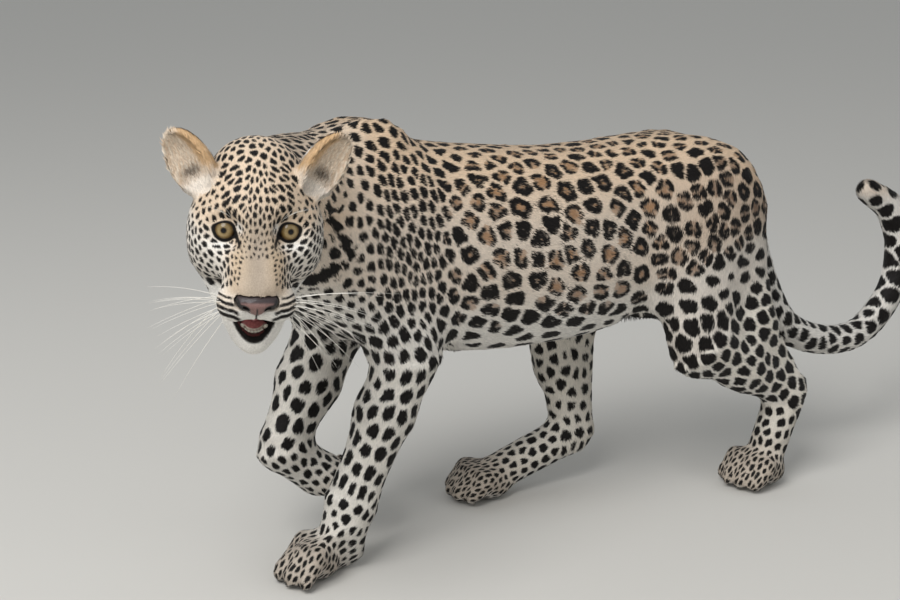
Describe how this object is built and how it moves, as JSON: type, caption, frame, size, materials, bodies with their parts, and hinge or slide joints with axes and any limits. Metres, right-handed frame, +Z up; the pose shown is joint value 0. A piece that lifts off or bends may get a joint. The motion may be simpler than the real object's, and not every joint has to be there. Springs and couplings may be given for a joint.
{
  "type": "leopard",
  "caption": "Young spotted leopard at life size, walking slowly with its head turned to its left and its tail curled up behind.",
  "frame": {"origin": "on the floor, under the middle of the animal's box", "axes": "+Z up; the spine runs along X with the head at -X and the tail at +X; the left flank faces -Y"},
  "size_m": [1.1966, 0.3838, 0.5724],
  "materials": {
    "sandy_coat": "short tawny fur with black rosettes",
    "pale_coat": "short cream to white fur with black spots",
    "iris": "wet, clear and amber green",
    "nose_leather": "damp bare skin",
    "tongue": "wet and rough",
    "teeth": "smooth ivory"
  },
  "bodies": {
    "root": {"chest": "sandy_coat", "belly": "sandy_coat", "rump": "sandy_coat", "neck": "sandy_coat", "tail_1": "sandy_coat", "tail_2": "sandy_coat", "tail_3": "sandy_coat", "tail_4": "sandy_coat", "upper_arm_left": "sandy_coat", "forearm_left": "pale_coat", "forepaw_left": "pale_coat", "upper_arm_right": "sandy_coat", "forearm_right": "pale_coat", "forepaw_right": "pale_coat", "thigh_left": "sandy_coat", "shank_left": "pale_coat", "hind_foot_left": "pale_coat", "thigh_right": "sandy_coat", "shank_right": "pale_coat", "hind_foot_right": "pale_coat", "head": "sandy_coat", "jaw": "pale_coat", "tongue": "tongue", "teeth_lower": "teeth", "nose": "nose_leather", "eye_left": "iris", "ear_left": "sandy_coat", "eye_right": "iris", "ear_right": "sandy_coat"}
  },
  "joints": []
}
